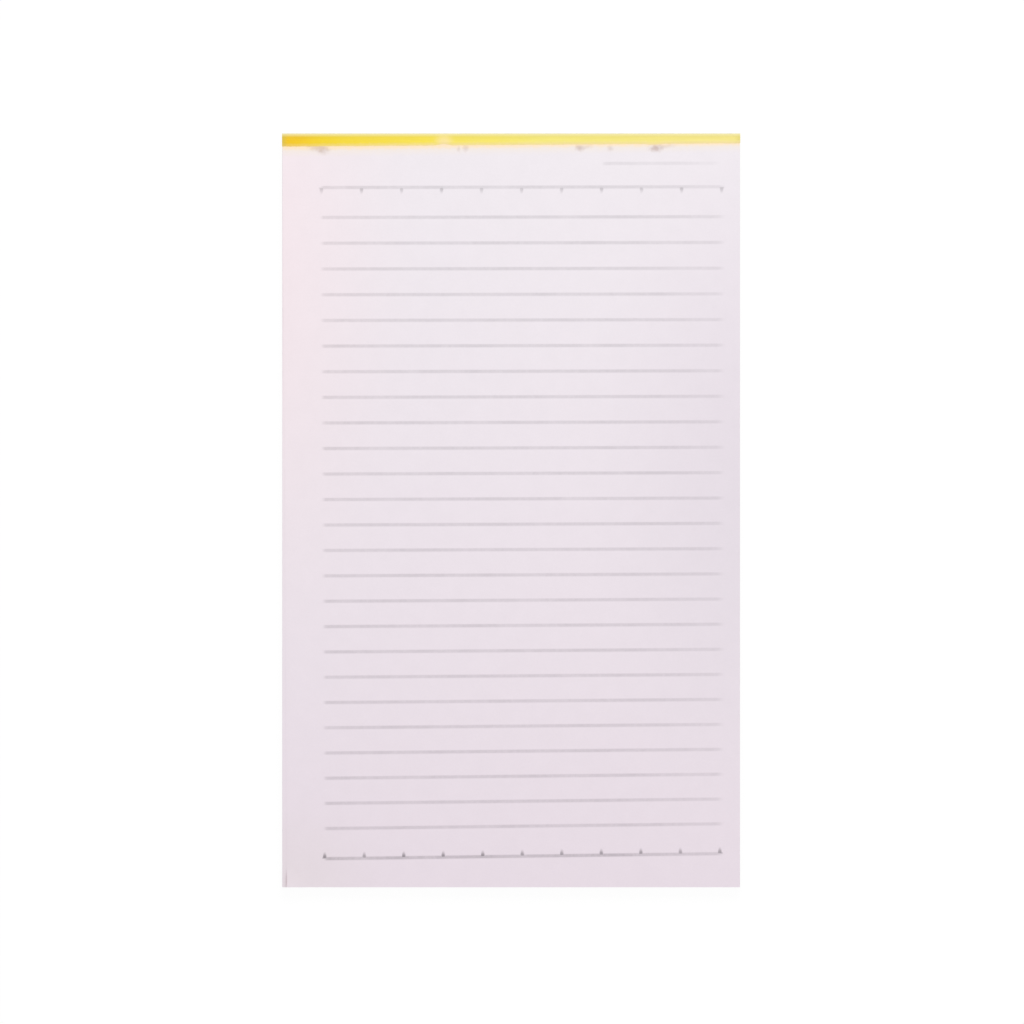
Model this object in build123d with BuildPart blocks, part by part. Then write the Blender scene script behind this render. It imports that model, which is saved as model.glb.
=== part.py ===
"""A junior legal pad, glue bound at the head and finished with a folded binding tape.

The pad lies on its backing board. X runs across the page, the bound head is at +Y, the foot is
at -Y and +Z is up. The origin is the middle of the pad's outline, on the surface it lies on.
All sizes are in millimetres.
"""

import math
import os

from build123d import *

# Sheets, all trimmed together on a guillotine
sheet_width = 127.0
sheet_length = 208.5
sheet_thickness = 0.1
sheet_count = 50
knife_draw = 1.2  # the knife dragged the top sheet, so its left edge is cut in this far at the foot
sheet_stray = 0.12  # most that a sheet's edge lies inside the block's outline
stray_step = 2.4  # radians from one sheet's stray to the next, so that neighbours differ
drift_step = 0.45  # and a slower swing, so that the edges also go in and out in bands

# The thumbed corner, at the foot of the left edge
lifted_sheets = 1
crease_up_side = 5.0  # from the corner to where the crease meets the left edge
crease_along_foot = 7.0  # and from the corner to where it meets the foot
corner_lift = 0.7  # of the top sheet's corner

# Chipboard back
board_thickness = 0.8

# Padding glue, brushed over the head of the clamped pad
glue_thickness = 0.3
glue_round = 0.8 * glue_thickness  # it draws back from both long edges as it dries

# Binding tape, folded over the head
tape_thickness = 0.2
front_flap_left = 3.6  # the tape was laid on askew, so its front flap tapers to the right
front_flap_right = 2.85
back_flap = 11.0
bed_clearance = 0.2  # past the end of the back flap, which is pressed flush into the board
nick_place = -18.6  # a nick in the front flap's edge, left of the middle
nick_width = 5.0
nick_depth = 0.4
ear_place = 39.6  # and a spot where that edge bulges, near the right end
ear_width = 6.0
ear_depth = 0.22

# Places that follow from the sizes
half_width = sheet_width / 2
tape_head_y = (sheet_length + glue_thickness + tape_thickness) / 2
glue_head_y = tape_head_y - tape_thickness
block_head_y = glue_head_y - glue_thickness
foot_y = block_head_y - sheet_length
block_base = board_thickness
block_top = block_base + sheet_count * sheet_thickness
bed_depth = tape_thickness
bed_end_y = tape_head_y - back_flap - bed_clearance


def stray(number, edge):
    """How far one edge of a sheet, counted up from the board, lies inside the block's outline."""
    quick = math.sin(stray_step * number + edge)
    slow = math.sin(drift_step * number + 2 * edge)
    return sheet_stray * (2 + quick + slow) / 4


def sheet_corners(number):
    """The foot-left, foot-right, head-right and head-left corners of a sheet."""
    drawn = knife_draw if number == sheet_count - 1 else 0
    left = -half_width + stray(number, 0)
    right = half_width - stray(number, 1)
    foot = foot_y + stray(number, 2)
    return (
        Vector(left + drawn, foot),
        Vector(right, foot),
        Vector(right, block_head_y),
        Vector(left, block_head_y),
    )


def crease_ends(number):
    """Where a lifted sheet's crease meets its left edge, and where it meets its foot."""
    corner, foot_right, _, head_left = sheet_corners(number)
    on_side = corner + (head_left - corner).normalized() * crease_up_side
    on_foot = corner + (foot_right - corner).normalized() * crease_along_foot
    return on_side, on_foot


def flap_edge(x, outwards=0.0):
    """A point of the front flap's edge, or one that stands outwards from it, towards the foot."""
    share = (x + half_width) / sheet_width
    flap = front_flap_left + share * (front_flap_right - front_flap_left)
    return (x, tape_head_y - flap - outwards)


with BuildPart() as backing_board:
    with BuildSketch(Plane.XY):
        with Locations((0, foot_y)):
            Rectangle(sheet_width, sheet_length, align=(Align.CENTER, Align.MIN))
    extrude(amount=board_thickness)
    with BuildSketch(Plane.XY):
        with Locations((0, block_head_y)):
            Rectangle(sheet_width, block_head_y - bed_end_y, align=(Align.CENTER, Align.MAX))
    extrude(amount=bed_depth, mode=Mode.SUBTRACT)


with BuildPart() as sheet_block:
    first_lifted = sheet_count - lifted_sheets
    for number in range(sheet_count):
        sheet_base = block_base + number * sheet_thickness
        corner, foot_right, head_right, head_left = sheet_corners(number)
        foot_left = [corner] if number < first_lifted else crease_ends(number)
        with BuildSketch(Plane.XY.offset(sheet_base)):
            with BuildLine():
                Polyline(*foot_left, foot_right, head_right, head_left, close=True)
            make_face()
    for number in range(first_lifted, sheet_count):
        # the corner beyond the crease is a triangle that turns up about it, the top sheet's the most
        sheet_base = block_base + number * sheet_thickness
        corner = sheet_corners(number)[0]
        on_side, on_foot = crease_ends(number)
        crease = on_side - on_foot
        to_corner = corner - on_foot
        along_crease = to_corner.dot(crease.normalized())
        from_crease = math.sqrt(to_corner.length**2 - along_crease**2)
        lift = corner_lift * (number - first_lifted + 1) / lifted_sheets
        turn = math.degrees(math.asin(lift / from_crease))
        face_up = Vector(0, 0, 1).rotate(Axis(on_foot, crease), turn)
        with BuildSketch(Plane(on_foot + Vector(0, 0, sheet_base), crease, face_up)):
            with BuildLine():
                Polyline((0, 0), (crease.length, 0), (along_crease, from_crease), close=True)
            make_face()
    extrude(amount=sheet_thickness)


with BuildPart() as padding_glue:
    with BuildSketch(Plane.YZ.offset(-half_width)) as film:
        with Locations((block_head_y, bed_depth)):
            Rectangle(glue_thickness, block_top - bed_depth, align=(Align.MIN, Align.MIN))
        fillet(film.vertices().group_by(Axis.X)[-1], radius=glue_round)
    extrude(amount=sheet_width)


with BuildPart() as binding_tape:
    with BuildSketch(Plane.YZ.offset(-half_width)):
        with BuildLine():
            FilletPolyline(
                (tape_head_y - front_flap_left - ear_depth, block_top),
                (glue_head_y, block_top),
                (glue_head_y, bed_depth),
                (tape_head_y - back_flap, bed_depth),
                radius=glue_round,
            )
            offset(amount=tape_thickness, side=Side.LEFT)
        make_face()
    extrude(amount=sheet_width)
    # trim the front flap along its askew edge, with the nick and the ear
    with BuildSketch(Plane.XY.offset(block_top)):
        with BuildLine():
            nick_start, nick_end = nick_place - nick_width / 2, nick_place + nick_width / 2
            ear_start, ear_end = ear_place - ear_width / 2, ear_place + ear_width / 2
            slope = Vector(*flap_edge(half_width)) - Vector(*flap_edge(-half_width))
            Line(flap_edge(-half_width), flap_edge(nick_start))
            Spline(
                flap_edge(nick_start),
                flap_edge(nick_place, -nick_depth),
                flap_edge(nick_end),
                tangents=(slope, slope),
            )
            Line(flap_edge(nick_end), flap_edge(ear_start))
            Spline(
                flap_edge(ear_start),
                flap_edge(ear_place, ear_depth),
                flap_edge(ear_end),
                tangents=(slope, slope),
            )
            Line(flap_edge(ear_end), flap_edge(half_width))
            Polyline(
                flap_edge(half_width),
                (half_width, tape_head_y - back_flap),
                (-half_width, tape_head_y - back_flap),
                flap_edge(-half_width),
            )
        make_face()
    extrude(amount=tape_thickness, mode=Mode.SUBTRACT)


backing_board.part.label = "backing_board"
sheet_block.part.label = "sheet_block"
padding_glue.part.label = "padding_glue"
binding_tape.part.label = "binding_tape"

os.makedirs("parts", exist_ok=True)
export_step(backing_board.part, "parts/backing_board.step")
export_step(sheet_block.part, "parts/sheet_block.step")
export_step(padding_glue.part, "parts/padding_glue.step")
export_step(binding_tape.part, "parts/binding_tape.step")
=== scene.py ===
"""Gives a junior legal pad its looks: leafed paper, printed ruling, binding tape and chipboard.

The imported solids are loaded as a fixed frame, in metres. Every piece is made where its solid lies
and every size comes from that frame or from the settings below.
"""

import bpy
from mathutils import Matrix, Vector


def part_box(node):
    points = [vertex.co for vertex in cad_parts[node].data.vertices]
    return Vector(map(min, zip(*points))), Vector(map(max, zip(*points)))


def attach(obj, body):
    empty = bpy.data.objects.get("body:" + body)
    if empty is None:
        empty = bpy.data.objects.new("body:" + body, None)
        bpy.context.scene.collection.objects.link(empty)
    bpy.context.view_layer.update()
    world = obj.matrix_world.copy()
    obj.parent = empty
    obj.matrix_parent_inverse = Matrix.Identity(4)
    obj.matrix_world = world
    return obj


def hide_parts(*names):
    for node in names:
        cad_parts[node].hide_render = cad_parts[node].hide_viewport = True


bl_info = {
    "name": "Legal Pad",
    "version": (1, 0, 0),
    "blender": (4, 5, 0),
    "location": "3D View > Sidebar > Legal Pad",
    "description": "Builds a glue-bound ruled pad with leafed sheets, a folded tape and a chipboard back",
    "category": "Add Mesh",
}

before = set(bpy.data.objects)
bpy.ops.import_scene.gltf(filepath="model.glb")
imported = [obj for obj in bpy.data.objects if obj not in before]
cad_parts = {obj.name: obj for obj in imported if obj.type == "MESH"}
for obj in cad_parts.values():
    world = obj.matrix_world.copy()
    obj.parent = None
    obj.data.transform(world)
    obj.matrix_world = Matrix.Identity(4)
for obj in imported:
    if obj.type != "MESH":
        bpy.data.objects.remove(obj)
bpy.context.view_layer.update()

import math
from functools import partial
from types import SimpleNamespace

import bpy
import numpy as np
from bpy.props import FloatProperty, FloatVectorProperty, IntProperty, PointerProperty
from bpy.types import Material, NodeSocket, Operator, Panel, PropertyGroup

MM = 0.001
PHOTO_PIXELS = 1024
BODY = "root"

# Where the pad's parts lie, read from the frame
BOARD_LOW, BOARD_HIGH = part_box("backing_board")
GLUE_LOW, GLUE_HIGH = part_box("padding_glue")
TAPE_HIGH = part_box("binding_tape")[1]
PAD_WIDTH = BOARD_HIGH.x - BOARD_LOW.x
SHEET_LENGTH = BOARD_HIGH.y - BOARD_LOW.y
FOOT = BOARD_LOW.y
PAGE_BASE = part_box("sheet_block")[0].z
PAGE_TOP = GLUE_HIGH.z
TAPE_THICKNESS = TAPE_HIGH.z - PAGE_TOP
GLUE_THICKNESS = GLUE_HIGH.y - GLUE_LOW.y

# The same in millimetres, for the patterns of the materials
SIDE_MM = PAD_WIDTH / 2 / MM
HEAD_MM = TAPE_HIGH.y / MM
TOP_MM = PAGE_TOP / MM


def linear(hex_colour):
    """An sRGB colour such as #F0EBF0 as linear red, green, blue and alpha."""
    values = [int(hex_colour[i : i + 2], 16) / 255 for i in (1, 3, 5)]
    return (*[v / 12.92 if v <= 0.04045 else ((v + 0.055) / 1.055) ** 2.4 for v in values], 1.0)


def length(name, description, millimetres):
    """A length setting, given in millimetres and kept in metres."""
    return FloatProperty(
        name=name, description=description, default=millimetres * MM, unit="LENGTH", precision=5
    )


def colour(name, description, hex_colour):
    """A colour setting, given as sRGB hex and kept linear."""
    return FloatVectorProperty(
        name=name, description=description, subtype="COLOR", size=4, min=0, max=1,
        default=linear(hex_colour),
    )


def amount(name, description, default, **limits):
    """A setting that isn't a length."""
    return FloatProperty(name=name, description=description, default=default, **limits)


def fraction(name, description, default):
    """A setting from 0 to 1."""
    return amount(name, description, default, min=0, max=1)


class SheetSettings(PropertyGroup):
    """The block of ruled sheets"""

    count: IntProperty(name="Sheets", description="Sheets in the pad", default=50, min=8)
    gap: length("Gap", "Air between two sheets", 0.014)
    stray: length("Stray", "Most that one sheet's edge lies inside the block", 0.07)
    drift: length("Drift", "Slow wander of the edges up the block", 0.14)
    knife_draw: length("Knife Draw", "How far the top sheet's left edge is cut in at its foot", 1.2)
    crease_up_side: length("Crease Up Side", "From the corner to the crease, up the left edge", 5.0)
    crease_along_foot: length("Crease Along Foot", "From the corner to the crease, along the foot", 7.0)
    corner_lift: length("Corner Lift", "How far the top sheet's thumbed corner stands up", 0.68)
    wave: length("Wave", "How far the page swells and dips", 0.05)
    paper_head: colour("Paper at Head", "Colour of the page near the binding", "#F1EBF0")
    paper_foot: colour("Paper at Foot", "Colour of the page near its foot", "#F2E6EF")
    # painted light: the page brighter and warmer by its left margin
    blush: colour("Blush", "Warmer colour of the page by its left margin", "#F7E9EE")
    # painted shade: the page duller and darker by its right margin
    dusk: colour("Dusk", "Cooler, duller colour of the page by its right margin", "#EAE1E9")
    # painted shade at the page's curled corner by the foot, at the left
    thumbed: colour("Thumbed", "Duller colour of the page at its thumbed corner", "#EFE4EA")
    # greyer cut edges: partly dust, partly painted shade
    paper_edge: colour("Sheet Edges", "Colour of the cut edges", "#EDE6E8")
    glue_stain: colour("Glue Stain", "Cream bleed of the padding glue under the tape", "#FFE6C0")
    seep: colour("Seep", "Faint yellow of the glue further down the page", "#F5EAE0")
    # dark spots under the tape's edge, and the painted shadow along the lifted corner
    smudge: colour("Smudge", "Dirt held by dried glue at the tape's edge", "#B4968E")


class RulingSettings(PropertyGroup):
    """The printed rules and their ticks, all of which are inputs of their node tree"""

    rules: IntProperty(name="Rules", description="Printed rules on the page", default=27, min=4)
    ticks: IntProperty(name="Ticks", description="Ticks on the first and last rule", default=11, min=2)
    rule_length: length("Rule Length", "From the first tick of the first rule to the last", 110.9)
    rule_middle: length("Rule Middle", "How far the rules are centred right of the middle", 2.84)
    left_overhang: length("Left Overhang", "How far a rule runs on to the left of the ticks", 0.6)
    right_overhang: length("Right Overhang", "And how far to the right of them", 1.55)
    rule_width: length("Rule Width", "Width of a rule with its feathered edges", 1.3)
    tick_width: length("Tick Width", "Width of a tick with its feathered edges, halfway along it", 1.2)
    tick_length: length("Tick Length", "From the middle of its rule to a tick's tip", 1.95)
    tick_taper: fraction("Tick Taper", "By which a tick widens to its rule, and narrows to its tip", 0.25)
    rule_load: fraction("Rule Load", "Ink along the middle of a rule", 0.2)
    foot_load: fraction("Foot Load", "Ink along the middle of the last rule", 0.3)
    head_tick_load: fraction("Head Tick Load", "Ink at the root of the first rule's ticks", 0.36)
    foot_tick_load: fraction("Foot Tick Load", "Ink at the root of the last rule's ticks", 0.58)
    lean: length("Lean", "How far right the last rule is printed of the first", 0.3)
    head_rule: length("Head Rule", "Height of the first rule above the page's middle", 89.62)
    head_gap: length("Head Gap", "From the first rule to the second", 8.29)
    pitch: length("Pitch", "From one rule to the next, at the head", 7.153)
    pitch_loss: length("Pitch Loss", "How much less each gap is than the one above", 0.0099)
    foot_gap: length("Foot Gap", "Extra space before the last rule", 1.4)
    date_rule: length("Date Rule", "Height of the date rule above the page's middle", 96.22)
    date_length: length("Date Length", "Length of the date rule", 33.4)
    skew_head: amount("Skew at Head", "Rise of the first rule", 0.002)
    skew_foot: amount("Skew at Foot", "Rise of the last rule", 0.0128)
    skew_power: amount("Skew Power", "How late the rise grows", 2.3)
    narrowing: fraction("Narrowing", "Share lost by the last rule", 0.0125)
    ink_film: length("Ink Film", "How far the ink stands on the page", 0.004)


class InkSettings(PropertyGroup):
    """The ink of the ruling"""

    grey: colour("Ink", "Colour of the paper under a full load of ink", "#48444A")
    left_fade: length("Left Fade", "Over how much of a rule's left end the ink thins out", 1.5)
    right_fade: length("Right Fade", "Over how much of a rule's right end the ink thins out", 3.0)
    date_clear: length("Date Clear", "Length of the date rule before its ink runs out", 27.1)


class TapeSettings(PropertyGroup):
    """The folded binding tape"""

    flap_left: length("Flap at Left", "Depth of the front flap at its left end", 3.65)
    flap_right: length("Flap at Right", "Depth of the front flap at its right end", 2.7)
    nick_place: length("Nick Place", "Where the nick is, from the middle", -18.6)
    nick_width: length("Nick Width", "Width of the nick", 5.0)
    nick_depth: length("Nick Depth", "Depth of the nick", 0.4)
    ear_place: length("Ear Place", "Where the edge bulges, from the middle", 39.6)
    ear_width: length("Ear Width", "Width of the bulge", 6.0)
    ear_depth: length("Ear Depth", "How far the bulge stands out", 0.22)
    ragged: length("Ragged", "Roughness of the trimmed edge", 0.07)
    back_flap: length("Back Flap", "Depth of the back flap", 11.0)
    # the tape's yellow pales from amber at the left end to straw at the right end
    amber: colour("Amber", "Unfaded colour at the left end", "#F3C618")
    yellow: colour("Yellow", "Colour a little way in", "#F4D52A")
    lemon: colour("Lemon", "Colour a third of the way along", "#F6E04E")
    straw: colour("Straw", "Colour in the middle", "#F4E77A")
    faded: colour("Faded", "Sun-faded colour at the right end", "#F5E68C")
    core: colour("Core", "Pale undyed core that shows at the trimmed edge", "#FEE8B4")
    # painted highlight on the fold's crown
    rubbed: colour("Rubbed", "Colour of the fold, where handling has rubbed it pale", "#F0E6AC")
    # darker at both ends, more at the left, and painted shade below the fold
    soil: colour("Soil", "Handling dirt below the fold and at both ends", "#CDBB55")


class BoardSettings(PropertyGroup):
    """The chipboard back"""

    arris: length("Arris", "How far the cut edges are crushed round", 0.16)
    bed: length("Bed", "Depth of the bed that the tape's back flap is pressed into", 0.2)
    chip: colour("Chipboard", "Ground colour of the board", "#9C9084")
    fleck_dark: colour("Dark Flecks", "Colour of the dark recycled fibres", "#5E564E")
    fleck_pale: colour("Pale Flecks", "Colour of the pale recycled fibres", "#C9C0B2")


class GlueSettings(PropertyGroup):
    """The film of padding glue"""

    cream: colour("Cream", "Colour of the glue where it is thin", "#EFE6CC")
    thick: colour("Thick", "Colour of the glue where the brush left more of it", "#D9CBA6")


class StageSettings(PropertyGroup):
    """The camera, the lamps and the floor"""

    camera_height: length("Camera Height", "How far the camera is above the page", 2000.0)
    frame_side: length("Frame Side", "Side of the square that the camera sees", 283.8)
    pad_middle_x: amount("Pad Middle X", "In pixels", 511.15)
    pad_middle_y: amount("Pad Middle Y", "In pixels", 510.5)
    sky: amount("Sky", "Strength of the even studio light", 0.62)
    lamp_power: amount("Lamp", "Power of the lamp in watts", 3.05)
    lamp_side: length("Lamp Side", "Side of the square lamp", 350.0)
    lamp_x: length("Lamp X", "The lamp's place across", 60.0)
    lamp_y: length("Lamp Y", "The lamp's place beyond the head", 420.0)
    lamp_z: length("Lamp Z", "The lamp's height", 750.0)
    floor_side: length("Floor Side", "Side of the floor", 8000.0)
    floor: colour("Floor", "Colour of the floor", "#F7F7F7")


class PadSettings(PropertyGroup):
    """All settings of the pad"""

    sheets: PointerProperty(type=SheetSettings)
    ruling: PointerProperty(type=RulingSettings)
    ink: PointerProperty(type=InkSettings)
    tape: PointerProperty(type=TapeSettings)
    board: PointerProperty(type=BoardSettings)
    glue: PointerProperty(type=GlueSettings)
    stage: PointerProperty(type=StageSettings)


# What the trees below call their nodes, in plain words, with each one's kind
KINDS = {
    "vector": "ShaderNodeCombineXYZ", "axes": "ShaderNodeSeparateXYZ", "range": "ShaderNodeMapRange",
    "noise": "ShaderNodeTexNoise", "mapping": "ShaderNodeMapping", "place": "ShaderNodeTexCoord",
    "attribute": "ShaderNodeAttribute", "surface": "ShaderNodeNewGeometry", "ray": "ShaderNodeLightPath",
    "ramp": "ShaderNodeValToRGB", "bump": "ShaderNodeBump", "principled": "ShaderNodeBsdfPrincipled",
    "clear": "ShaderNodeBsdfTransparent", "glow": "ShaderNodeEmission", "sky": "ShaderNodeBackground",
    "either shader": "ShaderNodeMixShader", "material output": "ShaderNodeOutputMaterial",
    "world output": "ShaderNodeOutputWorld", "tree inputs": "NodeGroupInput",
    "tree output": "NodeGroupOutput", "number": "GeometryNodeInputIndex",
    "position": "GeometryNodeInputPosition", "bar": "GeometryNodeMeshCube",
    "moved": "GeometryNodeSetPosition", "transformed": "GeometryNodeTransform",
    "turn": "FunctionNodeEulerToRotation", "copies": "GeometryNodeInstanceOnPoints",
    "joined": "GeometryNodeJoinGeometry", "made real": "GeometryNodeRealizeInstances",
    "painted": "GeometryNodeSetMaterial",
}
# and the ones that need settings
NODES = {word: (kind, {}) for word, kind in KINDS.items()} | {
    "soft range": ("ShaderNodeMapRange", {"interpolation_type": "SMOOTHSTEP"}),
    "open range": ("ShaderNodeMapRange", {"clamp": False}),
    "noise on a line": ("ShaderNodeTexNoise", {"noise_dimensions": "1D"}),
    "mix": ("ShaderNodeMix", {"data_type": "RGBA"}),
    "darken": ("ShaderNodeMix", {"data_type": "RGBA", "blend_type": "MULTIPLY"}),
    "oval": ("ShaderNodeMapping", {"vector_type": "TEXTURE"}),
    "random": ("FunctionNodeRandomValue", {"data_type": "FLOAT"}),
    "steps": ("GeometryNodeMeshLine", {"mode": "OFFSET"}),
    "row": ("GeometryNodeMeshLine", {"mode": "END_POINTS", "count_mode": "TOTAL"}),
    "keep": ("GeometryNodeStoreNamedAttribute", {"data_type": "FLOAT", "domain": "POINT"}),
    "plus up to 1": ("ShaderNodeMath", {"operation": "ADD", "use_clamp": True}),
}
for kind, sums in (
    ("ShaderNodeMath", {
        "plus": "ADD", "minus": "SUBTRACT", "times": "MULTIPLY", "times plus": "MULTIPLY_ADD",
        "over": "DIVIDE", "to the power": "POWER", "larger": "MAXIMUM", "unsigned": "ABSOLUTE",
        "is under": "LESS_THAN", "is over": "GREATER_THAN",
    }),
    ("ShaderNodeVectorMath", {"vector plus": "ADD", "vector times": "SCALE", "vector length": "LENGTH"}),
):
    NODES |= {word: (kind, {"operation": operation}) for word, operation in sums.items()}
COLUMN = 180  # from one node to the next in the editor


def key(socket):
    """A socket's name as code writes it, such as rule_length for Rule Length."""
    return socket.name.lower().replace(" ", "_")


def by_key(sockets):
    """The sockets in use, by their keys."""
    return {key(socket): socket for socket in sockets if socket.enabled}


def add(tree, node_name, *inputs, out=None, settings=None, **named):
    """Adds one of NODES, sets or links its inputs, and gives its first output, one named, or "all".

    Inputs come in order or by key, and a list of sockets is linked to one input.
    """
    kind, usual = NODES[node_name]
    node = tree.nodes.new(kind)
    node.location.x = COLUMN * len(tree.nodes)
    for name, value in {**usual, **(settings or {})}.items():
        setattr(node, name, value)
    called = by_key(node.inputs)
    sockets = [socket for socket in node.inputs if socket.enabled]
    for socket, value in [*zip(sockets, inputs), *((called[name], named[name]) for name in named)]:
        sources = value if isinstance(value, list) else [value]
        if isinstance(sources[0], NodeSocket):
            for source in sources:
                tree.links.new(source, socket)
        else:
            socket.default_value = value
    outputs = by_key(node.outputs)
    if out:
        return SimpleNamespace(**outputs) if out == "all" else outputs[out]
    return next(iter(outputs.values()), None)


def new_material(name):
    """A material, what adds a node to its empty tree, and the point on the piece in millimetres."""
    material = bpy.data.materials.new(name)
    material.use_nodes = True
    material.node_tree.nodes.clear()
    put = partial(add, material.node_tree)
    return material, put, put("mapping", put("place", out="object"), scale=(1 / MM,) * 3)


def finish_material(put, tone, **surface):
    """Ends a material: its colour and the rest go to the sockets of a Principled shader."""
    put("material output", put("principled", tone, **surface))


def spot(put, point, middle, reach, slant=0.0, strength=1.0, uneven=None):
    """A soft oval mask on the page, in millimetres, from strength in the middle to 0 at its reach."""
    turned = put("oval", point, (*middle, TOP_MM), (0.0, 0.0, slant), (*reach, SPOT_DEPTH))
    away = put("vector length", turned)
    if uneven:
        away = put("minus", put("times plus", uneven, SPOT_FRAY, away), SPOT_FRAY / 2)
    return put("soft range", away, to_min=strength, to_max=0.0)


SPOT_DEPTH = 1.5  # a spot's reach through the page, in millimetres
SPOT_FRAY = 0.8  # how far the noise given to a spot moves its rim, as a share of its reach


def streaks(put, point, sizes, detail, shift=0.0):
    """Noise drawn out to the given sizes along the axes, in millimetres, and shifted and turned."""
    scale = tuple(1 / size for size in sizes)
    drawn = put("mapping", point, (shift,) * 3, (0.0, 0.0, shift), scale)
    return put("noise", drawn, 1.0, detail)


def grain(put, point, size, detail, roughness, strength, depth):
    """Bump of grains of that size, all in millimetres."""
    height = put("noise", point, 1 / size, detail, roughness)
    return put("bump", height=height, strength=strength, distance=depth * MM)


def new_object(name, data):
    """An object in the scene."""
    made = bpy.data.objects.new(name, data)
    bpy.context.scene.collection.objects.link(made)
    return made


def finish_piece(piece, sharp_over, slot, *nodes):
    """Shades a piece smooth but for edges sharper than that angle, and hands it to the frame."""
    if sharp_over:
        piece.data.shade_smooth()
        piece.data.set_sharp_from_angle(angle=math.radians(sharp_over))
    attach(piece, BODY)
    if nodes:
        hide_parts(*nodes)


SHARP_IN_PAPER = 40  # degrees between two faces of a sheet with a sharp edge between them
SHARP_IN_BOARD = 50  # and two faces of the chipboard or the tape
SOCKETS = {int: "NodeSocketInt", float: "NodeSocketFloat", Material: "NodeSocketMaterial"}


def new_tree(label, build, values):
    """A Geometry Nodes tree with an input for each named value, and with what build adds to it."""
    tree = bpy.data.node_groups.new(label, "GeometryNodeTree")
    for name, value in values.items():
        name = name.replace("_", " ").title()
        tree.interface.new_socket(name=name, in_out="INPUT", socket_type=SOCKETS[type(value)])
    tree.interface.new_socket(name="Geometry", in_out="OUTPUT", socket_type="NodeSocketGeometry")
    put = partial(add, tree)
    given = put("tree inputs", out="all")
    real = put("made real", build(put, given))
    put("tree output", put("painted", real, material=given.material))
    return tree


def grow(name, label, build, **values):
    """Runs a Geometry Nodes tree on the values, and gives what it makes as a plain mesh object."""
    tree = bpy.data.node_groups.get(label) or new_tree(label, build, values)
    carrier = new_object(name, bpy.data.meshes.new(name))
    modifier = carrier.modifiers.new(label, "NODES")
    modifier.node_group = tree
    for socket in tree.interface.items_tree:
        if socket.in_out == "INPUT":
            modifier[socket.identifier] = values[key(socket)]
    graph = bpy.context.evaluated_depsgraph_get()
    mesh = bpy.data.meshes.new_from_object(carrier.evaluated_get(graph), depsgraph=graph)
    carrier.modifiers.remove(modifier)
    if not mesh.polygons:
        raise RuntimeError(f"{label} made no faces for {name}")
    carrier.data = mesh
    mesh.name = name
    return carrier


def block_between(name, lower, upper, material):
    """A closed piece between two grids of points of the same shape (rows, columns, 3)."""
    points = np.concatenate([lower.reshape(-1, 3), upper.reshape(-1, 3)])
    number = np.arange(lower[..., 0].size).reshape(lower.shape[:2])
    up = number.size
    cells = np.stack([number[:-1, :-1], number[:-1, 1:], number[1:, 1:], number[1:, :-1]], -1)
    cells = cells.reshape(-1, 4)
    rim = np.concatenate([number[0, :-1], number[:-1, -1], number[-1, :0:-1], number[:0:-1, 0]])
    ahead = np.roll(rim, -1)
    sides = np.stack([rim, ahead, ahead + up, rim + up], -1)
    mesh = bpy.data.meshes.new(name)
    faces = np.concatenate([cells + up, cells[:, ::-1], sides])
    mesh.from_pydata(points.tolist(), [], faces.tolist())
    if mesh.validate():
        raise RuntimeError(f"{name} has broken faces")
    mesh.materials.append(material)
    return new_object(name, mesh)


def points_of(piece):
    """The piece's vertices as an array."""
    points = np.empty(len(piece.data.vertices) * 3)
    piece.data.vertices.foreach_get("co", points)
    return points.reshape(-1, 3)


def put_points(piece, points):
    """Writes the piece's vertices back."""
    piece.data.vertices.foreach_set("co", points.ravel())
    piece.data.update()


def settle(piece, sheets, is_top):
    """Moves flat sheets, or what is printed on them, to where the real ones lie.

    The page swells and dips a little away from the binding, which the sheets below follow less and
    less. The corner of the top sheet also curls up, from a little before its crease.
    """
    points = points_of(piece)
    across = (points[:, 0] + PAD_WIDTH / 2) / PAD_WIDTH
    along = (points[:, 1] - FOOT) / SHEET_LENGTH
    height = np.clip((points[:, 2] - PAGE_BASE) / (PAGE_TOP - PAGE_BASE), 0, 1)
    swell = 1.0
    for turns_across, turns_along, phase in SWELL:
        swell = swell * np.sin(across * turns_across + along * turns_along + phase)
    points[:, 2] += sheets.wave * height * swell * np.clip((1 - along) * HELD_FLAT, 0, 1)
    if is_top:
        to_side = across * PAD_WIDTH / sheets.crease_along_foot
        to_foot = along * SHEET_LENGTH / sheets.crease_up_side
        curl = np.clip((1 - to_side - to_foot + CURL_EARLY) / (1 + CURL_EARLY), 0, 1) ** CURL_POWER
        points[:, 2] += sheets.corner_lift * curl
    put_points(piece, points)


SWELL = ((5.1, 2.3, 0.6), (1.9, 6.7, 0.4))  # each wave's radians across and along the page, and its phase
HELD_FLAT = 4  # the binding holds the page flat, less and less over one part in this many of its length
CURL_EARLY = 0.25  # the real paper starts to bend before the crease, by this share of the corner
CURL_POWER = 1.5  # above 1, the corner bends more the nearer it is to its tip


def draw_in(piece, sheets):
    """Moves the left edge of the top sheet to where the knife dragged it."""
    points = points_of(piece)
    from_right = 0.5 - points[:, 0] / PAD_WIDTH
    from_head = 1 - (points[:, 1] - FOOT) / SHEET_LENGTH
    points[:, 0] += sheets.knife_draw * from_right * from_head
    put_points(piece, points)


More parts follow.
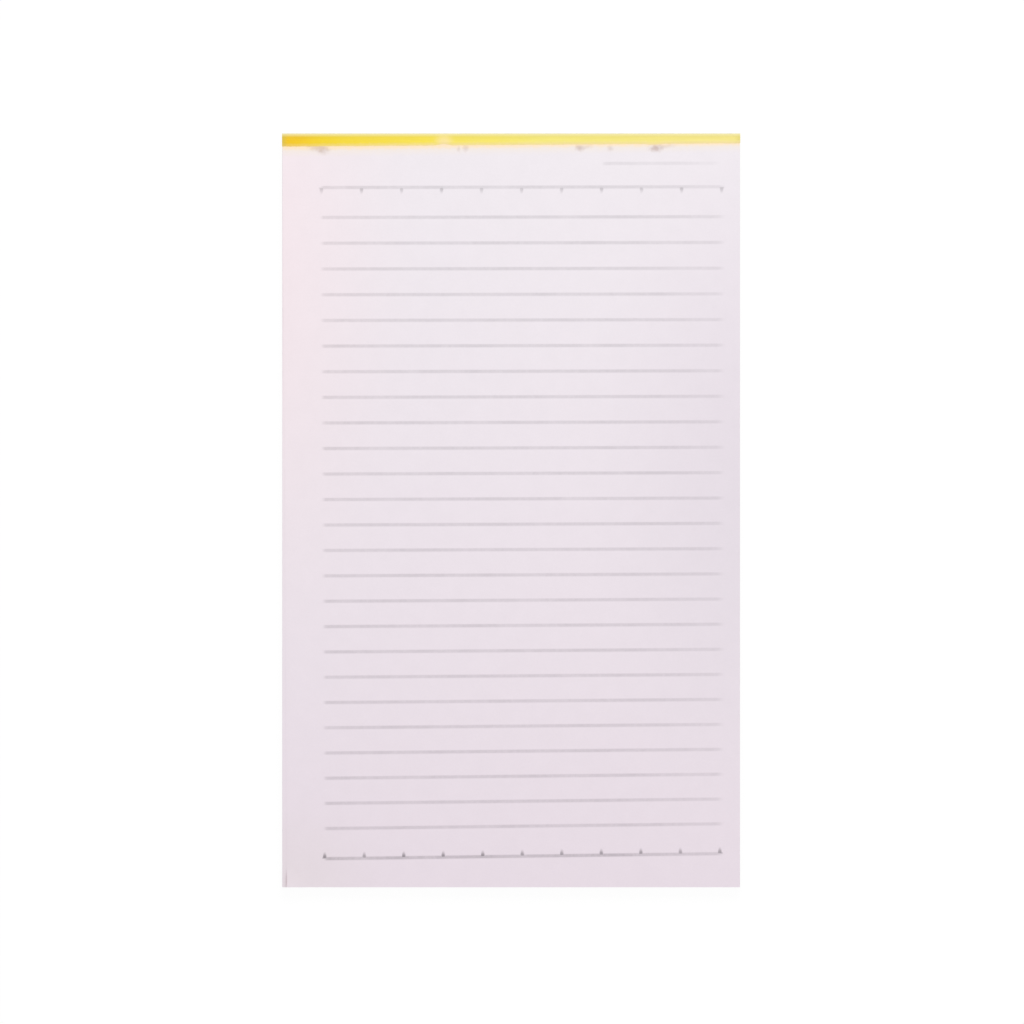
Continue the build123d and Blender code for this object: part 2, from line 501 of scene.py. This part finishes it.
def sheet_stack(put, given):
    """Geometry Nodes for a stack of loose sheets, each cut a little differently."""
    number = put("plus", put("number"), given.first_sheet)
    # how far each of the left edge, the right edge and the foot is cut in
    cut_in = []
    for seed in (1, 2, 3):
        stray = put("random", 0.0, given.stray, number, seed)
        height = put("plus", put("times", number, DRIFT_PER_SHEET), DRIFT_APART * seed)
        wander = put("noise on a line", height, 1.0, 2.0)
        cut_in.append(put("times plus", wander, given.drift, stray))
    left, right, foot = cut_in
    # the sheet's share of the full width and length, and how far its middle moves
    wide = put("minus", 1.0, put("over", put("plus", left, right), given.width))
    long = put("minus", 1.0, put("over", foot, given.length))
    middle_x = put("times", put("minus", left, right), 0.5)
    half_length = put("times plus", given.length, 0.5, given.foot)
    middle_y = put("times plus", foot, 0.5, half_length)
    # one point for the middle of each sheet
    above_board = put("plus", given.first_sheet, 0.5)
    first_z = put("times plus", above_board, given.pitch, given.base)
    start = put("vector", z=first_z)
    line = put("steps", given.sheets, start, put("vector", z=given.pitch))
    placed = put("moved", line, offset=put("vector", middle_x, middle_y))
    thickness = put("minus", given.pitch, given.gap)
    size = put("vector", given.width, given.length, thickness)
    sheet = put("bar", size, given.points_across, given.points_along, 2)
    return put("copies", placed, instance=sheet, scale=put("vector", wide, long, 1.0))


DRIFT_PER_SHEET = 0.21  # of the drift noise's own length, so the edges wander every millimetre or so
DRIFT_APART = 7.3  # between the noise of one edge and the next, so that they wander apart


def paper_tone(put, sheets, point, axes):
    """The page's colour, which cools and darkens down the page, with painted light by the left margin
    and painted shade by the right margin and at the curled corner by the foot.
    """
    half_length = SHEET_LENGTH / 2 / MM
    down = put("range", axes.y, half_length, -half_length)
    tone = put("mix", down, sheets.paper_head, sheets.paper_foot)
    # painted light by the left margin, and painted shade by the right margin and at the curled corner by
    # the foot
    for shade, middle, reach in (
        (sheets.blush, (-72.0, 70.0), (50.0, 130.0)),
        (sheets.dusk, (72.0, 10.0), (58.0, 112.0)),
        (sheets.thumbed, (-62.0, -103.0), (32.0, 28.0)),
    ):
        tone = put("mix", spot(put, point, middle, reach), tone, shade)
    # the cloudy formation of the pulp, about 5 mm across, and fibres drawn coarse at 0.4 mm
    for size, detail in ((5.0, 3.0), (0.4, 2.0)):
        pulp = put("noise", point, 1 / size, detail)
        tone = put("vector times", tone, put("range", pulp, 0.3, 0.7, 0.985))
    return tone


def tooth(put, point):
    """Fibres and the felt side's fine tooth, 0.25 mm, drawn coarser than the real 0.05 mm."""
    return grain(put, point, size=0.25, detail=4.0, roughness=0.6, strength=0.25, depth=0.02)


PAPER = {"roughness": 0.92, "specular_ior_level": 0.25}  # chalky, and the ink has sunk into it


def paper_material(sheets, page):
    """Uncoated wove paper, machine finished: chalky and matt, faintly cloudy against the light.

    The page has the cream bleed of the padding glue along the tape, a few dark spots under the tape's
    edge and a painted shadow along the lifted corner. Cut edges are greyer, partly dust and partly
    painted shade, in fine bands of painted shade where sheets lie a little in or out.
    """
    material, put, point = new_material("page_wove_paper" if page else "sheet_wove_paper")
    axes = put("axes", point, out="all")
    tone = paper_tone(put, sheets, point, axes)
    if page:
        tone = stained(put, sheets, point, axes, tone)
    # painted shadow of the top sheet's lifted corner on the sheet below
    tone = put("mix", spot(put, point, *CORNER_PAINTED_SHADOW), tone, sheets.smudge)
    # edges: greyer, partly dust and partly painted shade, in bands of painted shade where sheets lie a
    # little in or out, 0.3 to 1 mm high and long along the pad, drawn coarser than one sheet
    band = streaks(put, point, (40.0, 40.0, 0.28), 4.0)
    band_shade = put("range", band, 0.32, 0.62, 0.84)
    edge_tone = put("vector times", sheets.paper_edge[:3], band_shade)
    upward = put("axes", put("surface", out="true_normal"), out="z")
    is_edge = put("is under", put("unsigned", upward), 0.5)
    tone = put("mix", is_edge, tone, edge_tone)
    finish_material(put, tone, normal=tooth(put, point), **PAPER)
    return material


# Dark spots on the page under the tape's edge, in millimetres: the middle, how far they reach, their
# slant and darkness
DARK_SPOTS = (
    ((-53.6, 100.45), (4.0, 1.5), -0.1, 0.36),
    ((-51.9, 99.8), (2.4, 1.8), -0.1, 0.28),
    ((-14.5, 100.2), (0.75, 1.3), 0.0, 0.24),
    ((-12.6, 100.3), (1.2, 1.4), 0.1, 0.28),
    ((19.0, 100.45), (1.9, 1.3), 0.05, 0.5),
    ((20.9, 100.8), (2.6, 0.9), 0.12, 0.18),
    ((27.5, 100.35), (1.3, 1.2), 0.0, 0.29),
    ((40.1, 100.4), (2.8, 1.5), 0.05, 0.58),
    ((43.2, 101.0), (3.8, 0.9), 0.14, 0.16),
)
# Painted shadow along the edge of the lifted corner, cast on the sheet below
CORNER_PAINTED_SHADOW = ((-62.3, -102.7), (0.55, 3.2), 0.005, 0.2)
# How much further up the stain starts than the tape's edge at its left and right end, in millimetres
STAIN_LEFT, STAIN_RIGHT = -0.22, 0.2


def stained(put, sheets, point, axes, tone):
    """The page's tone with the glue's bleed along the tape and the dark spots under its edge."""
    tape = bpy.context.scene.legal_pad.tape
    rough = put("noise", point, 1 / 1.1, 3.0)
    # distance below the tape's askew edge, less at the left, where more glue was brushed on
    left_y = HEAD_MM - tape.flap_left / MM + STAIN_LEFT
    right_y = HEAD_MM - tape.flap_right / MM + STAIN_RIGHT
    edge_line = put("open range", axes.x, -SIDE_MM, SIDE_MM, left_y, right_y)
    below = put("minus", edge_line, axes.y)
    uneven = put("times plus", rough, 0.9, below)
    for start, end, strength, shade in (
        (1.0, 3.6, 0.75, sheets.seep),
        (0.4, 1.7, 0.9, sheets.glue_stain),
    ):
        stain = put("soft range", uneven, start, end, strength, 0.0)
        tone = put("mix", stain, tone, shade)
    for smudge in DARK_SPOTS:
        tone = put("mix", spot(put, point, *smudge, uneven=rough), tone, sheets.smudge)
    return tone


class PAD_OT_stack_sheets(Operator):
    """Stacks the ruled sheets, with the top one fine enough to curl"""

    bl_idname = "legal_pad.stack_sheets"
    bl_label = "Stack Sheets"

    def execute(self, context):
        sheets = context.scene.legal_pad.sheets
        lower = sheets.count - 1
        for name, first, count, points_across, points_along in (
            ("lower_sheets", 0, lower, 22, 32),
            ("top_sheet", lower, 1, 160, 260),
        ):
            is_top = first == lower
            piece = grow(
                name, "Sheet Stack", sheet_stack,
                sheets=count, first_sheet=first, pitch=(PAGE_TOP - PAGE_BASE) / sheets.count,
                width=PAD_WIDTH, length=SHEET_LENGTH, foot=FOOT, base=PAGE_BASE,
                gap=sheets.gap, stray=sheets.stray, drift=sheets.drift,
                points_across=points_across, points_along=points_along,
                material=paper_material(sheets, page=is_top),
            )
            settle(piece, sheets, is_top)
            if is_top:
                draw_in(piece, sheets)
            finish_piece(piece, SHARP_IN_PAPER, "ruled_paper", "sheet_block")
        return {"FINISHED"}


def printed_ruling(put, given):
    """Geometry Nodes for the printed rules, their ticks and the date rule."""
    local = put("axes", put("position"), out="all")
    half_rule_width = put("times", given.rule_width, 0.5)

    def bar(points, bar_length, width, film, **kept):
        """A bar about its own middle, which keeps the named values at its vertices."""
        made = put("bar", put("vector", bar_length, width, film), points, 2, 2)
        for name, value in kept.items():
            made = put("keep", made, name=name, value=value)
        return made

    def rule(points, bar_length, load):
        """A rule, which knows how far each vertex is from its middle line and from its ends."""
        half = put("times", bar_length, 0.5)
        return bar(
            points, bar_length, given.rule_width, given.ink_film,
            rule_load=load,
            rule_edge=put("over", local.y, half_rule_width),
            from_left=put("plus", half, local.x),
            from_right=put("minus", half, local.x),
        )

    def ticks(side, load, rule_load):
        """A row of wedges rooted on a rule's middle line, which hang from it (-1) or stand on it (1)."""
        right = put("times", given.rule_length, 0.5)
        rise = put("times", given.tick_length, 0.5 * side)
        # a tick is half a film thicker than its rule, from the same page up
        film = put("times", given.ink_film, 1.5)
        lift = put("times", given.ink_film, 0.25)
        ends = [put("vector", x, rise, lift) for x in (put("times", right, -1.0), right)]
        # -1 at the root and 1 at the tip, and then 0 at the root
        tipwards = put("over", local.y, rise)
        tip = put("times plus", tipwards, 0.5, 0.5)
        tick = bar(
            2, given.tick_width, given.tick_length, film,
            tick_load=load,
            tick_edge=put("over", local.x, put("times", given.tick_width, 0.5)),
            tick_tip=tip,
            rule_load=rule_load,
            rule_edge=put("over", put("times", tip, given.tick_length), half_rule_width),
            from_left=given.rule_length,
            from_right=given.rule_length,
        )
        outwards = put("times", local.x, put("times", tipwards, given.tick_taper))
        wedge = put("moved", tick, offset=put("vector", put("times", outwards, -1.0)))
        return put("copies", put("row", given.ticks, *ends), instance=wedge)

    order = put("number")
    last = put("minus", given.rules, 1.0)
    share = put("over", order, last)
    is_first = put("is under", order, 0.5)
    is_last = put("is over", order, put("minus", last, 0.5))
    # how far each rule is below the first: whole pitches, less what they lose, plus the wider gaps
    steps = put("larger", put("minus", order, 1.0), 0.0)
    half_loss = put("times", given.pitch_loss, -0.5)
    lost = put("times", put("times", steps, steps), half_loss)
    pitches = put("times plus", steps, given.pitch, lost)
    not_first = put("minus", 1.0, is_first)
    with_head = put("times plus", not_first, given.head_gap, pitches)
    below = put("times plus", is_last, given.foot_gap, with_head)
    aside = put("times", share, given.lean)
    from_first = put("vector", aside, put("times", below, -1.0))
    first_place = put("vector", given.rule_middle, given.head_rule, given.page)
    place = put("vector plus", from_first, first_place)
    points = put("moved", put("steps", given.rules), position=place)
    # the print fans: rules turn more and get shorter towards the foot
    late = put("to the power", share, given.skew_power)
    more = put("minus", given.skew_foot, given.skew_head)
    skew = put("times plus", late, more, given.skew_head)
    turn = put("turn", put("vector", z=skew))
    wide = put("minus", 1.0, put("times", share, given.narrowing))
    scale = put("vector", wide, 1.0, 1.0)
    # past the ticks at both ends, and further at the right
    past_left = put("plus", given.rule_length, given.left_overhang)
    past_both = put("plus", past_left, given.right_overhang)
    further = put("minus", given.right_overhang, given.left_overhang)
    rightwards = put("vector", put("times", further, 0.5))
    plain, foot_rule = [
        put("moved", rule(56, past_both, load), offset=rightwards)
        for load in (given.rule_load, given.foot_load)
    ]
    hanging = ticks(-1, given.head_tick_load, given.rule_load)
    standing = ticks(1, given.foot_tick_load, given.foot_load)
    between = put("minus", 1.0, put("plus", is_first, is_last))
    rows = [
        put("copies", points, selection=chosen, instance=made, rotation=turn, scale=scale)
        for chosen, made in (
            (between, plain),
            (is_first, put("joined", [plain, hanging])),
            (is_last, put("joined", [foot_rule, standing])),
        )
    ]
    # the date rule, flush with the right end of the rules
    shorter = put("minus", given.rule_length, given.date_length)
    rise = put("minus", given.date_rule, given.head_rule)
    date_offset = put("vector", put("times", shorter, 0.5), rise)
    dated = put(
        "transformed",
        rule(18, given.date_length, given.rule_load),
        translation=put("vector plus", date_offset, first_place),
        rotation=put("vector", z=given.skew_head),
    )
    return put("joined", [*rows, dated])


KEPT_BY_RULING = (
    "rule_load", "rule_edge", "from_left", "from_right", "tick_load", "tick_edge", "tick_tip"
)
FULL_INK = 0.35  # share of a line's half width that has its full load, before it feathers out


def ink_material(pad):
    """Thin grey offset ink on uncoated paper: matt, and feathered, since the paper drinks it in.

    The paper shows through it. It is mottled finely and along each rule, thins out at the rules'
    ends and the ticks' tips, and is faint in the date rule, whose right end has hardly printed.
    """
    ruling, ink = pad.ruling, pad.ink
    material, put, point = new_material("grey_offset_ink")
    axes = put("axes", point, out="all")
    kept = {
        name: put("attribute", out="fac", settings={"attribute_name": name})
        for name in KEPT_BY_RULING
    }
    # a line's ink feathers out aside, and thins between a place with none and one with its full load
    loads = []
    for line, thinning in (
        ("rule", (("from_left", 0.0, ink.left_fade), ("from_right", 0.0, ink.right_fade))),
        ("tick", (("tick_tip", 1.1, 0.2), ("tick_tip", 0.0, 0.12))),
    ):
        aside = put("unsigned", kept[line + "_edge"])
        load = kept[line + "_load"]
        for value, none, full in ((aside, 1.0, FULL_INK), *((kept[n], *ends) for n, *ends in thinning)):
            load = put("times", load, put("soft range", value, none, full))
        loads.append(load)
    load = put("larger", *loads)
    # mottled, and printed more lightly towards the head and at the right
    mottle = put("plus", put("noise", point, 1 / 0.9, 2.0), put("noise", point, 1 / 9.0, 1.0))
    for value, low, high, least, most in (
        (mottle, 0.7, 1.3, 1.14, 0.74),
        (axes.y, -95.0, 95.0, 1.03, 0.9),
        (kept["from_right"], 4 * MM, 26 * MM, 0.7, 1.0),
    ):
        load = put("times", load, put("range", value, low, high, least, most))
    # and fainter in the date rule
    in_date = put("is over", axes.y, (ruling.date_rule + ruling.head_rule) / 2 / MM)
    rules_end = ruling.rule_middle + ruling.rule_length / 2
    runs_out = (rules_end - ruling.date_length + ink.date_clear) / MM
    missing = put("range", axes.x, runs_out - 1.0, runs_out + 1.0, 0.36, 0.58)
    load = put("times", load, put("minus", 1.0, put("times", missing, in_date)))
    tone = put("darken", load, paper_tone(put, pad.sheets, point, axes), ink.grey)
    finish_material(put, tone, normal=tooth(put, point), **PAPER)
    return material


class PAD_OT_print_ruling(Operator):
    """Prints the rules, their ticks and the date rule on the top sheet"""

    bl_idname = "legal_pad.print_ruling"
    bl_label = "Print Ruling"

    def execute(self, context):
        pad = context.scene.legal_pad
        printed = {name: getattr(pad.ruling, name) for name in pad.ruling.__annotations__}
        on_page = PAGE_TOP - pad.sheets.gap / 2 + pad.ruling.ink_film / 2
        ink = ink_material(pad)
        piece = grow("ruling", "Printed Ruling", printed_ruling, page=on_page, material=ink, **printed)
        settle(piece, pad.sheets, is_top=True)
        finish_piece(piece, None, "ruled_paper")
        return {"FINISHED"}


def bump_between(x, middle, width, depth):
    """A smooth bump of that width and depth, 0 outside it."""
    t = np.clip(np.abs(x - middle) / (width / 2), 0, 1)
    return depth * (1 - t * t) ** 2


def ripple(x, *waves):
    """A steady uneven line between about -1 and 1, from waves of (length in mm, phase)."""
    return sum(np.sin(2 * math.pi * x / (wave * MM) + phase) for wave, phase in waves) / len(waves)


def flap_edge(tape, x):
    """The y of the front flap's trimmed edge at x."""
    along = (x + PAD_WIDTH / 2) / PAD_WIDTH
    flap = tape.flap_left + along * (tape.flap_right - tape.flap_left)
    flap = flap - bump_between(x, tape.nick_place, tape.nick_width, tape.nick_depth)
    flap = flap + bump_between(x, tape.ear_place, tape.ear_width, tape.ear_depth)
    return TAPE_HIGH.y - flap - tape.ragged * ripple(x, *TORN)


TORN = ((2.7, 0.4), (0.9, 2.0), (6.1, 1.1), (13.0, 3.0))  # the waves of the trimmed edge


def tape_material(tape):
    """Paper binding tape, dyed yellow and calendered: a soft low sheen, paler towards its right end.

    The trimmed edge shows the paler undyed core; the fold's crown has a painted highlight and painted
    shade below it.
    """
    material, put, point = new_material("yellow_binding_tape")
    axes = put("axes", point, out="all")
    # the paling from left to right wanders with broad blotches and fine streaks along the tape
    along = put("range", axes.x, -SIDE_MM, SIDE_MM)
    swing = put("minus", put("noise", point, 1 / 14.0, 2.0), 0.5)
    tone = put("ramp", put("times plus", swing, 0.16, along))
    ramp = tone.node.color_ramp
    for position, shade in ((0.07, tape.yellow), (0.3, tape.lemon), (0.55, tape.straw)):
        ramp.elements.new(position).color = shade
    ramp.elements[0].color = tape.amber
    ramp.elements[-1].color = tape.faded
    streak = streaks(put, point, (9.0, 0.5, 0.5), 3.0)
    tone = put("vector times", tone, put("range", streak, 0.3, 0.7, 0.965, 1.02))
    # darker at both ends, more at the left; painted shade below the fold, where the tape rolls over, and
    # a painted highlight on the fold's crown
    aside = put("unsigned", axes.x)
    at_top = (axes.z, TOP_MM - 0.6, TOP_MM + 0.05, 0.0, 0.85)
    at_ends = (aside, SIDE_MM - 1.6, SIDE_MM - 0.4, 0.0, 1.0)
    for shade, *masks in (
        (tape.soil, (axes.x, -SIDE_MM, SIDE_MM, 0.55, 0.25), at_ends),
        (tape.soil, (axes.y, HEAD_MM - 1.7, HEAD_MM - 0.9, 0.0, 0.22), at_top),
        (tape.rubbed, (axes.y, HEAD_MM - 1.0, HEAD_MM - 0.2, 0.0, 1.0), at_top),
    ):
        mask = put("times", *(put("range", *mask) for mask in masks))
        tone = put("mix", mask, tone, shade)
    # the undyed core at the trimmed edge, less of it at the left
    from_edge = put("attribute", out="fac", settings={"attribute_name": "from_edge"})
    ragged = put("times plus", put("noise", point, 1 / 0.6, 2.0), -0.6, from_edge)
    bare = put("range", ragged, -0.55, 0.7, 0.9, 0.0)
    bare = put("times", bare, put("range", axes.x, -SIDE_MM, -SIDE_MM / 2, 0.45))
    # and the rubbed spot above the nick
    nick = (tape.nick_place / MM, HEAD_MM - (tape.flap_left + tape.flap_right) / 2 / MM)
    rubbed = spot(put, point, nick, (0.75 * tape.nick_width / MM, 4.4), strength=0.8)
    tone = put("mix", put("larger", bare, rubbed), tone, tape.core)
    fibre = grain(put, point, size=0.3, detail=3.0, roughness=0.5, strength=0.4, depth=0.03)
    finish_material(put, tone, normal=fibre, roughness=0.55, specular_ior_level=0.2)
    return material


TAPE_COLUMNS = 420
EDGE_PRESSED = (0.12, 0.32, 0.52, 0.74, 0.92)  # shares of the thickness, from the trimmed edge in
FRONT_ROWS = (0, 0.05, 0.1, 0.16, 0.22, *np.linspace(0.3, 1, 11))  # from the trimmed edge to the fold
BACK_ROWS = np.linspace(0, 1, 15) ** 1.4  # from the fold to the back flap's end
PUCKER = 0.04  # share of the thickness that the tape's outside goes up and down by
FOLD_SHARE = 0.8  # of the glue's thickness that the fold's inside is rounded by


def fold_rows(tape, edge):
    """The inside of the tape from its front edge to its back one: y, z and which way is out."""
    fold = FOLD_SHARE * GLUE_THICKNESS
    turn_y = GLUE_HIGH.y - fold
    rows = [(edge + share * (turn_y - edge), PAGE_TOP, 0, 1) for share in FRONT_ROWS]
    for turn_z, first in ((PAGE_TOP - fold, 90), (GLUE_LOW.z + fold, 0)):
        for angle in np.radians(np.linspace(first, first - 90, 9)):
            c, s = math.cos(angle), math.sin(angle)
            rows.append((turn_y + fold * c, turn_z + fold * s, c, s))
    back_end = TAPE_HIGH.y - tape.back_flap
    return rows + [(turn_y + share * (back_end - turn_y), GLUE_LOW.z, 0, -1) for share in BACK_ROWS]


class PAD_OT_fold_tape(Operator):
    """Folds the binding tape over the head, with its askew and nicked front flap"""

    bl_idname = "legal_pad.fold_tape"
    bl_label = "Fold Tape"

    def execute(self, context):
        tape = context.scene.legal_pad.tape
        x = np.linspace(-PAD_WIDTH / 2, PAD_WIDTH / 2, TAPE_COLUMNS)
        rows = fold_rows(tape, flap_edge(tape, x))
        inside = np.empty((len(rows), TAPE_COLUMNS, 3))
        outside = np.empty_like(inside)
        for row, (y, z, out_y, out_z) in enumerate(rows):
            pressed = EDGE_PRESSED[row] if row < len(EDGE_PRESSED) else 1
            uneven = 1 + PUCKER * ripple(x, (6.1, row * 0.3), (2.3, row * 0.5))
            swell = TAPE_THICKNESS * pressed * uneven
            inside[row] = np.stack([x, y + 0 * x, z + 0 * x], -1)
            outside[row] = np.stack([x, y + out_y * swell, z + out_z * swell], -1)
        outside[:, :, 2] = np.maximum(outside[:, :, 2], 0)
        piece = block_between("tape", inside, outside, tape_material(tape))
        store_distance_from_edge(piece, tape)
        finish_piece(piece, SHARP_IN_BOARD, "yellow_tape", "binding_tape")
        return {"FINISHED"}


def store_distance_from_edge(piece, tape):
    """Keeps, at each vertex, how far it is from the front flap's trimmed edge, in millimetres."""
    points = points_of(piece)
    far = (points[:, 1] - flap_edge(tape, points[:, 0])) / MM
    far[points[:, 2] < PAGE_TOP - TAPE_THICKNESS] = PAD_WIDTH / MM
    stored = piece.data.attributes.new("from_edge", "FLOAT", "POINT")
    stored.data.foreach_set("value", far.astype(np.float32))


def chipboard_material(board):
    """Unlined grey chipboard from mixed waste paper: dull, flecked, faintly streaked by the rollers."""
    material, put, point = new_material("grey_chipboard")
    cloud = put("range", put("noise", point, 1 / 7.0, 3.0), 0.3, 0.7, 0.92, 1.05)
    tone = put("vector times", board.chip[:3], cloud)
    for shift, fleck_length, fleck_width, limit, shade in (
        (3.0, 2.4, 0.35, 0.66, board.fleck_dark),
        (11.0, 1.8, 0.4, 0.64, board.fleck_pale),
        (19.0, 0.6, 0.5, 0.68, board.fleck_dark),
    ):
        fibres = streaks(put, point, (fleck_length, fleck_width, fleck_width), 2.0, shift)
        fleck = put("range", fibres, limit, limit + 0.06, to_max=0.55)
        tone = put("mix", fleck, tone, shade)
    fuzz = grain(put, point, size=0.35, detail=4.0, roughness=0.65, strength=0.5, depth=0.05)
    finish_material(put, tone, normal=fuzz, roughness=0.9, specular_ior_level=0.2)
    return material


# Rows of the board near its cut edges, and near the step to the bed
NEAR_EDGE = np.array([0, 0.02, 0.06, 0.12, 0.2, 0.6]) * MM
NEAR_BED = np.array([-0.2, -0.12, 0.0]) * MM
ROUNDED = 0.98  # share of a full quarter round that the lower edges are crushed to
CRUSHED_ABOVE = 0.4  # share of the same at the board's upper edges, under the sheets


def spread(low, high, cells):
    """Places from low to high, evenly spaced but for those near both edges."""
    inner = np.linspace(low + NEAR_EDGE[-1], high - NEAR_EDGE[-1], cells + 1)
    return np.unique(np.concatenate([low + NEAR_EDGE, inner, high - NEAR_EDGE]))


class PAD_OT_cut_board(Operator):
    """Cuts the chipboard back, with crushed arrises and the bed for the tape's back flap"""

    bl_idname = "legal_pad.cut_board"
    bl_label = "Cut Board"

    def execute(self, context):
        pad = context.scene.legal_pad
        board = pad.board
        bed_end = TAPE_HIGH.y - pad.tape.back_flap
        x = spread(BOARD_LOW.x, BOARD_HIGH.x, 60)
        y = np.unique(np.concatenate([spread(FOOT, BOARD_HIGH.y, 90), bed_end + NEAR_BED]))
        grid_x, grid_y = np.meshgrid(x, y)
        from_side = np.minimum(grid_x - BOARD_LOW.x, BOARD_HIGH.x - grid_x)
        inset = np.minimum(from_side, grid_y - FOOT)
        lack = np.clip(1 - inset / board.arris, 0, 1)
        crushed = board.arris * (1 - np.sqrt(1 - ROUNDED * lack * lack))
        bed = np.clip((grid_y - bed_end - NEAR_BED[0]) / (NEAR_BED[1] - NEAR_BED[0]), 0, 1) * board.bed
        lower = np.stack([grid_x, grid_y, BOARD_LOW.z + np.maximum(crushed, bed)], -1)
        upper = np.stack([grid_x, grid_y, BOARD_HIGH.z - CRUSHED_ABOVE * crushed], -1)
        piece = block_between("board", lower, upper, chipboard_material(board))
        finish_piece(piece, SHARP_IN_BOARD, "chipboard", "backing_board")
        return {"FINISHED"}


def glue_material(glue):
    """Dried water-based padding compound: rubbery, cream and slightly cloudy, with a soft gloss."""
    material, put, point = new_material("dried_padding_glue")
    stroke = streaks(put, point, (12.0, 0.6, 0.6), 3.0)
    tone = put("mix", stroke, glue.cream, glue.thick)
    brushed = put("bump", height=stroke, strength=0.4, distance=0.05 * MM)
    finish_material(put, tone, normal=brushed, roughness=0.45, ior=1.47)
    return material


class PAD_OT_brush_glue(Operator):
    """Gives the film of padding glue its finish"""

    bl_idname = "legal_pad.brush_glue"
    bl_label = "Brush Glue"

    def execute(self, context):
        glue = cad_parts["padding_glue"]
        glue.data.materials.clear()
        glue.data.materials.append(glue_material(context.scene.legal_pad.glue))
        return {"FINISHED"}


def plain_white_rays(put):
    """The light path, and a mask of the rays that see plain white: camera, gloss and glass."""
    ray = put("ray", out="all")
    straight = put("plus", ray.is_camera_ray, ray.is_glossy_ray)
    return ray, put("plus up to 1", straight, ray.is_transmission_ray)


WHITE = (1.0, 1.0, 1.0, 1.0)
FLOOR_GLOW = 1.02  # strength of the floor's plain white
FLOOR_WHITE = 0.93  # share of plain white in what the camera sees, so the pad's shadow is faint
FLOOR_BELOW = 0.05 * MM  # so that the floor doesn't share a plane with the pad's back


def floor_material(stage):
    """Matt white paper sweep, which the camera sees as plain white but for the pad's own shadow.

    From below it is clear, and it lets the even light through, so that the pad's back can be seen.
    """
    material, put, _ = new_material("white_sweep")
    matt = put("principled", stage.floor, roughness=0.9, specular_ior_level=0.0)
    ray, seen = plain_white_rays(put)
    glow = put("glow", WHITE, FLOOR_GLOW)
    mixed = put("either shader", put("times", seen, FLOOR_WHITE), matt, glow)
    through = put("surface", out="backfacing")
    for lit in (ray.is_diffuse_ray, ray.is_shadow_ray):
        through = put("larger", through, lit)
    put("material output", put("either shader", through, mixed, put("clear")))
    return material


def studio_world(stage):
    """An even studio light, which the camera sees as plain white."""
    world = bpy.data.worlds.new("studio")
    world.use_nodes = True
    world.node_tree.nodes.clear()
    put = partial(add, world.node_tree)
    seen = plain_white_rays(put)[1]
    strength = put("range", seen, to_min=stage.sky, to_max=1.0)
    put("world output", put("sky", WHITE, strength))
    return world


class PAD_OT_set_stage(Operator):
    """Sets the floor, the even studio light, one soft lamp beyond the head and the camera above"""

    bl_idname = "legal_pad.set_stage"
    bl_label = "Set Stage"

    def execute(self, context):
        scene = context.scene
        stage = scene.legal_pad.stage
        scene.view_settings.view_transform = "Standard"
        scene.world = studio_world(stage)
        half = stage.floor_side / 2
        mesh = bpy.data.meshes.new("floor")
        corners = ((-half, -half), (half, -half), (half, half), (-half, half))
        mesh.from_pydata([(x, y, -FLOOR_BELOW) for x, y in corners], [], [(0, 1, 2, 3)])
        mesh.materials.append(floor_material(stage))
        floor = new_object("floor", mesh)

        light = bpy.data.lights.new("lamp", "AREA")
        light.size = stage.lamp_side
        light.energy = stage.lamp_power
        lamp = new_object("lamp", light)
        lamp.location = (stage.lamp_x, stage.lamp_y, stage.lamp_z)
        lamp.rotation_euler = (-lamp.location).to_track_quat("-Z", "Y").to_euler()

        lens = bpy.data.cameras.new("camera")
        lens.sensor_width = 36.0
        lens.lens = lens.sensor_width * stage.camera_height / stage.frame_side
        lens.clip_end = 10.0
        pixel = stage.frame_side / PHOTO_PIXELS
        camera = new_object("camera", lens)
        camera.location = (
            (PHOTO_PIXELS / 2 - stage.pad_middle_x) * pixel,
            (stage.pad_middle_y - PHOTO_PIXELS / 2) * pixel,
            PAGE_TOP + stage.camera_height,
        )
        scene.camera = camera
        return {"FINISHED"}


class PAD_PT_settings(Panel):
    """Lists the pad's settings and the steps that make it"""

    bl_idname = "PAD_PT_settings"
    bl_label = "Legal Pad"
    bl_space_type = "VIEW_3D"
    bl_region_type = "UI"
    bl_category = "Legal Pad"

    def draw(self, context):
        pad = context.scene.legal_pad
        for part in PadSettings.__annotations__:
            box = self.layout.box()
            box.label(text=part.title())
            for name in getattr(pad, part).__annotations__:
                box.prop(getattr(pad, part), name)
        for step in STEPS:
            self.layout.operator(step.bl_idname)


STEPS = (
    PAD_OT_stack_sheets, PAD_OT_print_ruling, PAD_OT_fold_tape, PAD_OT_cut_board,
    PAD_OT_brush_glue, PAD_OT_set_stage,
)
CLASSES = (
    SheetSettings, RulingSettings, InkSettings, TapeSettings, BoardSettings, GlueSettings,
    StageSettings, PadSettings, *STEPS, PAD_PT_settings,
)


def register():
    for cls in CLASSES:
        bpy.utils.register_class(cls)
    bpy.types.Scene.legal_pad = PointerProperty(type=PadSettings)


def unregister():
    del bpy.types.Scene.legal_pad
    for cls in reversed(CLASSES):
        bpy.utils.unregister_class(cls)


def main():
    """Builds the pad and its stage."""
    register()
    bpy.ops.legal_pad.stack_sheets()
    bpy.ops.legal_pad.print_ruling()
    bpy.ops.legal_pad.fold_tape()
    bpy.ops.legal_pad.cut_board()
    bpy.ops.legal_pad.brush_glue()
    bpy.ops.legal_pad.set_stage()


if __name__ == "__main__":
    main()
